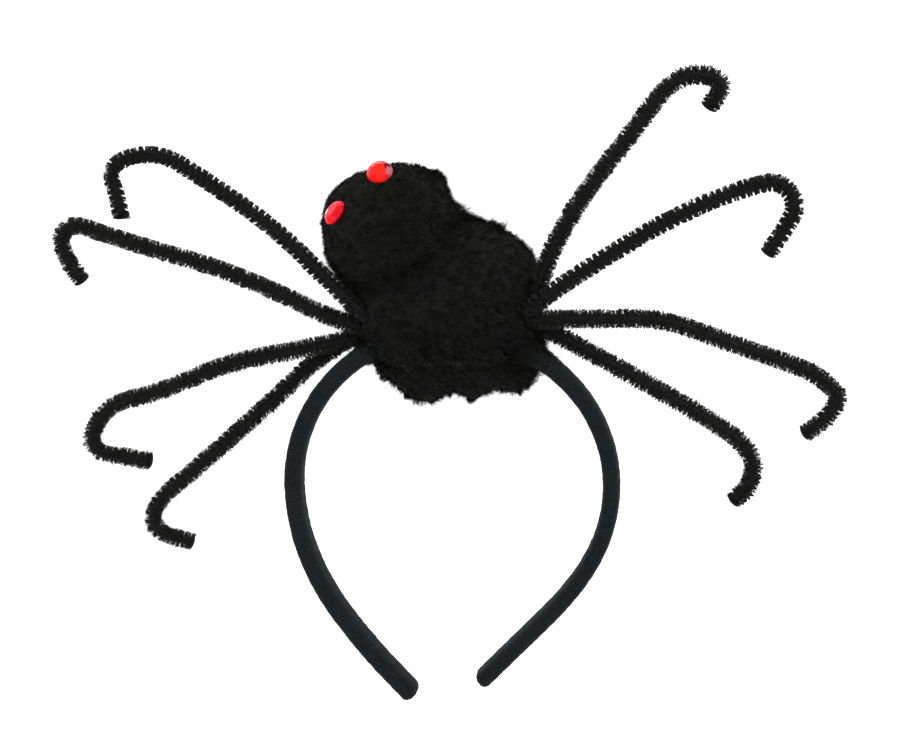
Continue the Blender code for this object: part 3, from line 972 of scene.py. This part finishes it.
def scatter(mesh, count, random):
    """Random points over a mesh and the normals there, in millimetres."""
    mesh.calc_loop_triangles()
    places = np.zeros(len(mesh.vertices) * 3)
    mesh.vertices.foreach_get("co", places)
    places = places.reshape(-1, 3) / MM
    normals = np.zeros(len(mesh.vertices) * 3, np.float32)
    mesh.vertices.foreach_get("normal", normals)
    normals = normals.reshape(-1, 3)
    corners = np.zeros(len(mesh.loop_triangles) * 3, np.int32)
    mesh.loop_triangles.foreach_get("vertices", corners)
    corners = corners.reshape(-1, 3)
    a, b, c = (places[corners[:, i]] for i in range(3))
    area = np.linalg.norm(np.cross(b - a, c - a), axis=1)
    chosen = random.choice(len(corners), count, p=area / area.sum())
    u = np.sqrt(random.random(count))
    v = random.random(count)
    shares = np.column_stack([1 - u, u * (1 - v), u * v])
    spots = sum(places[corners[chosen, i]] * shares[:, i, None] for i in range(3))
    ways = sum(normals[corners[chosen, i]] * shares[:, i, None] for i in range(3))
    return spots, unit(ways)


def merged_copy(node):
    """A CAD node's mesh with its loose triangles joined, as a bmesh in millimetres."""
    shape = bmesh.new()
    shape.from_mesh(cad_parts[node].data)
    rescale(shape, 1 / MM)
    bmesh.ops.remove_doubles(shape, verts=shape.verts, dist=MERGE_WITHIN)
    put_in_order(shape)
    return shape


def build_skin(node, material):
    """The backing of a plush lump: the solid's surface drawn in, with matted lumps."""
    start = to_mesh(merged_copy(node), node + "_start")
    helper = bpy.data.objects.new(node + "_start", start)
    bpy.context.scene.collection.objects.link(helper)
    remesh = helper.modifiers.new("Even", "REMESH")
    remesh.mode = "VOXEL"
    remesh.voxel_size = SKIN_VOXEL * MM
    smooth = helper.modifiers.new("Soften", "SMOOTH")
    smooth.factor = SKIN_SOFTENING
    smooth.iterations = SKIN_SOFTENED
    bpy.context.view_layer.update()
    evaluated = helper.evaluated_get(bpy.context.evaluated_depsgraph_get())
    shape = bmesh.new()
    shape.from_mesh(evaluated.to_mesh())
    bpy.data.objects.remove(helper)
    rescale(shape, 1 / MM)
    shape.normal_update()
    brush = PILE[node][3].normalized()
    for vert in shape.verts:
        mat = MAT_RISE * noise.fractal(vert.co / MAT_PATCH, *MAT_FRACTAL)
        lee = min(1.0, LEE_FLAT + 0.5 + 0.5 * vert.normal.dot(brush))
        rise = mat - SKIN_DEPTH * lee
        for place, radius, swell in SWELLS:
            away = (vert.co - Vector(place) - FOOTPRINT_SHIFT).length
            rise += swell * math.exp(-(away / radius) ** 2)
        vert.co += vert.normal * rise
        vert.co.z = max(vert.co.z, FLOOR_GAP)
    mesh = to_mesh(shape, node + "_skin")
    piece = finish_piece(node + "_skin", mesh, material, [node])
    return piece


def vector_noise(places, patch, seed):
    """A smooth random vector at each place, its patches about this wide."""
    return np.array([noise.noise_vector(Vector(place) / patch + NOISE_STEP * seed) for place in places])


def is_clear(tree, places, margin):
    """Which places lie outside a solid by more than a margin."""
    clear = np.ones(len(places), bool)
    for i, place in enumerate(places):
        near, normal, _, distance = tree.find_nearest(Vector(place), CLEAR_WITHIN)
        if near is not None:
            outside = (Vector(place) - near).dot(normal) > 0
            clear[i] = outside and distance > margin
    return clear


def distances_to(tree, places):
    """How far each place lies from a solid's surface."""
    return np.array([tree.find_nearest(Vector(place))[3] for place in places])


def search_tree(points):
    """Points that can be searched for the nearest one."""
    tree = kdtree.KDTree(len(points))
    for i, point in enumerate(points):
        tree.insert(point, i)
    tree.balance()
    return tree


def brushed_locks(node, skin, random):
    """Locks of a lump's pile: middles, directions, tips, how far each stands, and how pale each is."""
    _, count, length, brush, _ = PILE[node]
    middles, normals = scatter(skin.data, count, random)
    flow = np.array(brush)[None] + SWIRL_PULL * vector_noise(middles, SWIRL_PATCH, 1)
    flow = flow - normals * np.einsum("ij,ij->i", flow, normals)[:, None]
    ahead = np.array(brush.normalized())
    lee = np.clip(LEE_FLAT + 0.5 + 0.5 * (normals @ ahead), 0.0, LEE_MOST)
    lean = unit(normals * (PILE_RISE * lee)[:, None] + flow + random.normal(0, LOCK_STRAY, middles.shape))
    tips = middles + lean * (length * random.uniform(*LOCK_LENGTHS, count))[:, None]
    return middles, lean, tips, lee, random.uniform(0.0, 1.0, count) ** LOCK_TINT_CURVE


def build_pile(node, skin, material, solids, neighbours):
    """The plush pile of one lump: fibres brushed one way, whose tips are drawn together into locks."""
    count, _, length, _, pale = PILE[node]
    random = np.random.default_rng(SEED + len(node))
    middles, lock_lean, lock_tips, lock_lee, lock_tint = brushed_locks(node, skin, random)

    roots, normals = scatter(skin.data, count, random)
    near = search_tree(middles)
    lock = np.array([near.find(root)[1] for root in roots])
    lee = lock_lee[lock]
    lean = unit(lock_lean[lock] + random.normal(0, FIBRE_STRAY, roots.shape))
    lean = lifted(lean, normals, FIBRE_RISE * lee)
    reach = length * random.uniform(*FIBRE_LENGTHS, count) * (LEE_SHORT + (1 - LEE_SHORT) * lee)
    reach = np.where(random.random(count) < LONG_SHARE, reach * LONG_REACH, reach)
    standing = random.random(count) < FUZZ_SHARE + FUZZ_SIDES * (1 - np.abs(normals[:, 2])) ** FUZZ_CURVE
    lean = np.where(standing[:, None], unit(normals + random.normal(0, FUZZ_STRAY, roots.shape)), lean)
    reach = np.where(standing, length * FUZZ_SHORT * random.uniform(*FIBRE_LENGTHS, count), reach)

    near_each = [np.exp(-(distances_to(tree, roots) / CLOSE_WITHIN) ** 2) for tree in neighbours]
    # Closeness to the other lump, where the pile is painted paler as painted light against the crease's shade
    crease_light_mask = near_each[-1]
    closeness = np.minimum(1.0, sum(near_each))
    reach = reach * (1 + CLOSE_REACH * closeness)
    lean = unit(lean + normals * closeness[:, None] * CLOSE_RISE)
    pull = LOCK_PULL * (1 - CLOSE_LOOSE * closeness)[:, None] * ~standing[:, None]
    tips = (roots + lean * reach[:, None]) * (1 - pull) + lock_tips[lock] * pull
    way = tips - roots
    bow = unit(normals + random.normal(0, 1.0, roots.shape)) * (reach * FIBRE_CURL * FIBRE_WAIST)[:, None]
    lower = way * FIBRE_WAIST + bow
    upper = way - lower
    keep = np.ones(count, bool)
    for tree, margin in solids:
        keep &= is_clear(tree, roots + lower, margin)
        keep &= is_clear(tree, roots + lower + upper, margin)

    widths = PILE_WIDTH * random.uniform(*FIBRE_WIDTHS, count) * np.where(standing, FUZZ_WIDE, 1.0)
    fleck = FIBRE_TINT * random.random(count) ** FIBRE_TINT_CURVE
    # The lump's paleness holds painted light (the head is painted paler than the abdomen), and the crease is
    # painted paler too
    tints = pale * (lock_tint[lock] + fleck + CREASE_PAINTED_LIGHT * crease_light_mask)
    tints = tints * (1 + TINT_PATCHY * vector_noise(roots, TINT_PATCH, 4)[:, 0])
    tufts = tuft_fibres(node, search_tree(roots), random)
    pile = (roots - normals * PILE_SUNK, lower, upper, widths, tints)
    joined = [np.concatenate([part[keep], more]) for part, more in zip(pile, tufts)]
    finish_piece(node + "_pile", join_fibres(node + "_pile", FIBRE, *joined), material)


def tuft_fibres(node, ground, random):
    """Roots, lower and upper vectors, widths and tints of the tufts that stand off a lump's outline."""
    parts = []
    for lump, place, heading, length, spread, count in TUFTS:
        if lump != node:
            continue
        about = random.normal(0, spread, (count, 3)) * (1, 1, 0.5)
        middles = np.array(Vector(place) + FOOTPRINT_SHIFT) + about
        middles = np.array([ground.find(middle)[0] for middle in middles])
        turn = np.radians(heading + random.normal(0, TUFT_STRAY, count))
        way = unit(np.column_stack([np.cos(turn), np.sin(turn), random.normal(*TUFT_RISE, count)]))
        way = way * (TUFT_BASE + length * random.uniform(*TUFT_LENGTHS, count))[:, None]
        of = np.repeat(np.arange(count), TUFT_HAIRS)
        hairs = len(of)
        roots = middles[of] - unit(way[of]) * TUFT_SUNK + random.normal(0, TUFT_WIDTH, (hairs, 3))
        tips = middles[of] + way[of] * random.uniform(*HAIR_LENGTHS, hairs)[:, None]
        tips = tips + random.normal(0, HAIR_STRAY, (hairs, 3))
        whole = tips - roots
        side = np.column_stack([-whole[:, 1], whole[:, 0], 0 * of])
        lower = whole * FIBRE_WAIST + side * random.normal(0, HAIR_BOW, hairs)[:, None]
        widths = PILE_WIDTH * HAIR_THICK * random.uniform(*HAIR_WIDTHS, hairs)
        parts.append((roots, lower, whole - lower, widths, random.uniform(*HAIR_TINTS, hairs)))
    return [np.concatenate(column) for column in zip(*parts)]


def build_stone(side, material):
    """A round faceted stone with a broad flat table, its facets painted with reflections, glints and shade.
    """
    fire, rim_painted_light, border_painted_light = STONE_RED_AND_PAINTED_LIGHT[side]
    shape = bmesh.new()
    colour = shape.faces.layers.float_color.new("facet_red_and_painted_light")
    radius, height, _ = STONE_RINGS[0]
    bmesh.ops.create_circle(shape, cap_ends=True, segments=STONE_FACETS, radius=radius)
    edges = [edge for edge in shape.edges]
    past_turn = 0.0
    for face in shape.faces:
        face[colour] = (*STONE_BACK_AND_SHADE, 1.0)
    for row, (next_radius, next_height, turn) in enumerate(STONE_RINGS[1:]):
        before = set(shape.faces)
        verts, edges = grow(shape, edges)
        spin = Matrix.Rotation(2 * math.pi * (turn - past_turn) / STONE_FACETS, 3, "Z")
        bmesh.ops.rotate(shape, matrix=spin, verts=verts)
        size = next_radius / radius
        bmesh.ops.scale(shape, vec=(size, size, 1.0), verts=verts)
        bmesh.ops.translate(shape, vec=(0, 0, next_height - height), verts=verts)
        radius, height, past_turn = next_radius, next_height, turn
        # Rim facets take painted reflections, glints and shade by heading, and the girdle is painted dark as
        # painted shade
        for face in set(shape.faces) - before:
            face[colour] = (*(painted_light_round(face, rim_painted_light) if row else STONE_BACK_AND_SHADE), 1.0)
    table = bmesh.ops.holes_fill(shape, edges=edges, sides=0)["faces"]
    # The table's border takes painted glints and shade by heading
    for face in bmesh.ops.inset_region(shape, faces=table, thickness=TABLE_BORDER)["faces"]:
        face[colour] = (*painted_light_round(face, border_painted_light), 1.0)
    for face in table:
        face[colour] = (*fire, 1.0)
    bmesh.ops.triangulate(shape, faces=[face for face in shape.faces if len(face.verts) == 4])
    bmesh.ops.recalc_face_normals(shape, faces=shape.faces)
    *place, heading, lift = EYE_SEATS[side]
    turn = math.radians(heading)
    flat = math.cos(math.radians(lift))
    facing = Vector((flat * math.cos(turn), flat * math.sin(turn), math.sin(math.radians(lift))))
    tilt = facing.to_track_quat("Z", "Y").to_matrix().to_4x4()
    seat = Matrix.Translation(Vector(place) + FOOTPRINT_SHIFT) @ tilt
    bmesh.ops.transform(shape, matrix=seat, verts=shape.verts)
    put_in_order(shape)
    mesh = to_mesh(shape, "eye_" + side, smooth=False)
    finish_piece("eye_" + side + "_stone", mesh, material, ["eye_" + side])


def painted_light_round(face, tints):
    """The colour, with painted reflections, glints and shade, that a facet has from a table of them, each
    from its heading on round the stone.
    """
    middle = face.calc_center_median()
    around = math.degrees(math.atan2(middle.y, middle.x)) % 360.0
    return [tint for start, tint in tints if start <= around][-1]


def build_stage():
    """Pale surface, soft light from all round and two broad lamps overhead."""
    shape = bmesh.new()
    bmesh.ops.create_grid(shape, x_segments=1, y_segments=1, size=SURFACE_SIZE)
    mesh = bpy.data.meshes.new("surface")
    shape.to_mesh(mesh)
    shape.free()
    floor = bpy.data.objects.new("surface", mesh)
    pale, _, _ = new_material(
        "pale_surface",
        Base_Color=SURFACE_PALE,
        Roughness=0.9,
        Emission_Color=WHITE,
        Emission_Strength=SURFACE_GLOW,
    )
    mesh.materials.append(pale)
    bpy.context.scene.collection.objects.link(floor)

    world = bpy.data.worlds.new("studio")
    world.use_nodes = True
    inputs(world.node_tree.nodes["Background"], Color=WHITE, Strength=WORLD_LIGHT)
    bpy.context.scene.world = world
    for name, place, size, power in LAMPS:
        data = bpy.data.lights.new(name, "AREA")
        data.shape = "DISK"
        data.size = size
        data.energy = power
        lamp = bpy.data.objects.new(name, data)
        lamp.location = place
        lamp.rotation_euler = (-Vector(place)).to_track_quat("-Z", "Y").to_euler()
        bpy.context.scene.collection.objects.link(lamp)


def build_camera():
    """The photograph's view: nearly straight down, with +Y upward in the picture."""
    lean = math.radians(VIEW_LEAN)
    target = (VIEW_TARGET + FOOTPRINT_SHIFT) * MM
    back = Vector((math.sin(lean), 0.0, math.cos(lean)))
    right = Vector((0.0, 1.0, 0.0)).cross(back).normalized()
    up = back.cross(right)
    data = bpy.data.cameras.new("camera")
    data.sensor_width = SENSOR
    data.lens = SENSOR * VIEW_DISTANCE / VIEW_WIDTH
    data.clip_start = 0.01
    camera = bpy.data.objects.new("camera", data)
    camera.location = target + back * VIEW_DISTANCE * MM
    camera.rotation_mode = "QUATERNION"
    camera.rotation_quaternion = Matrix((right, up, back)).transposed().to_quaternion()
    bpy.context.scene.collection.objects.link(camera)
    bpy.context.scene.camera = camera


def main():
    """Build the camera, the stage and every piece that the solids are dressed in."""
    # Without a seed of its own, vector noise differs from run to run
    noise.seed_set(SEED)
    build_camera()
    build_stage()
    bpy.context.scene.view_settings.view_transform = "Standard"

    plush = fibre_material("plush_fibre", PLUSH_COLOURS, PLUSH_SHINE)
    bristle = fibre_material("nylon_bristle", BRISTLE_COLOURS, BRISTLE_SHINE)
    nap = fibre_material("velvet_nap", NAP_SHEEN_COLOURS, NAP_SHINE)
    roots = skin_material()
    wire = wire_material()

    band = build_band(velvet_material(), nap)
    for name in LEG_ROOTS:
        build_leg(name, bristle, wire)
    stone = stone_material()
    for side in EYE_SEATS:
        build_stone(side, stone)

    band_tree = BVHTree.FromBMesh(merged_copy("headband"))
    eye_trees = [BVHTree.FromBMesh(merged_copy("eye_" + side)) for side in EYE_SEATS]
    lump_trees = {node: BVHTree.FromBMesh(merged_copy(node)) for node in PILE}
    solids = [(band_tree, BAND_MARGIN)] + [(tree, EYE_MARGIN) for tree in eye_trees]
    build_band_fuzz(band, lump_trees["abdomen"], plush)
    for node in PILE:
        skin = build_skin(node, roots)
        neighbours = [band_tree] + [tree for other, tree in lump_trees.items() if other != node]
        build_pile(node, skin, plush, solids, neighbours)


main()
